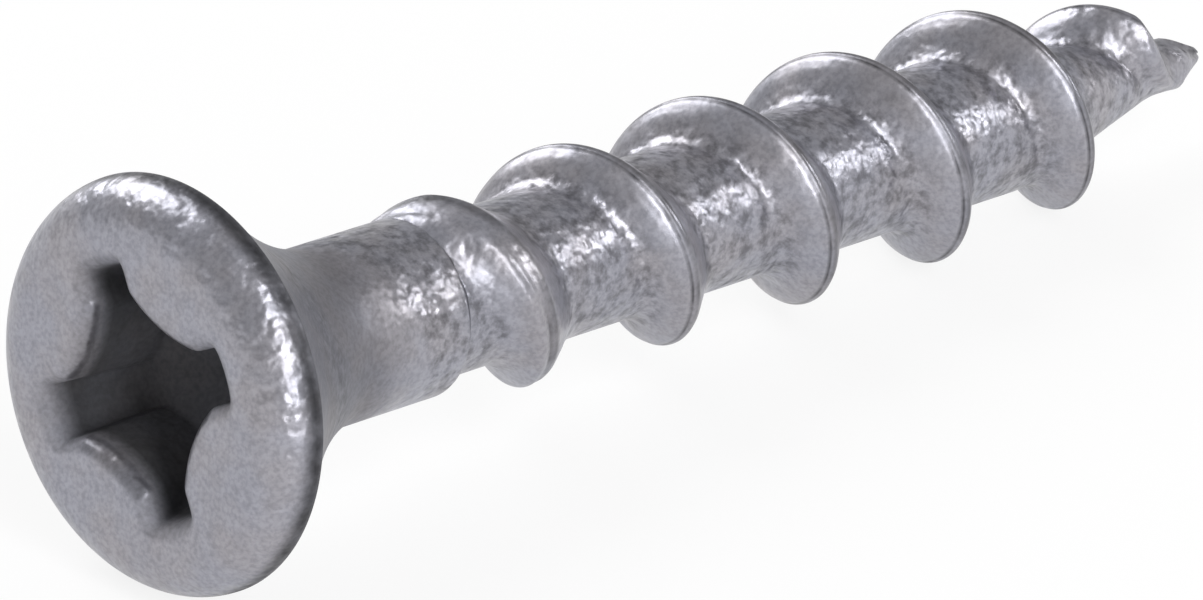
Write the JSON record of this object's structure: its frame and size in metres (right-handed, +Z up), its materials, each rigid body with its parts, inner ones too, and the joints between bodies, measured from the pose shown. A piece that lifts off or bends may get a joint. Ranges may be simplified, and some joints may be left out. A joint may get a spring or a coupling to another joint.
{
  "type": "deck screw",
  "caption": "Zinc coated deck screw with a bugle head, a cross recess, a short plain shank, a coarse right-hand thread and a gimlet point.",
  "frame": {"origin": "on the ground, below the centre of the screw as it lies", "axes": "+X from the head towards the point, +Z up; the axis of the screw slopes down towards the point"},
  "size_m": [0.032, 0.0086, 0.0086],
  "materials": {
    "zinc_coating": "dull mottled hot-dip zinc, rough"
  },
  "bodies": {
    "root": {"deck_screw": "zinc_coating"}
  },
  "joints": []
}
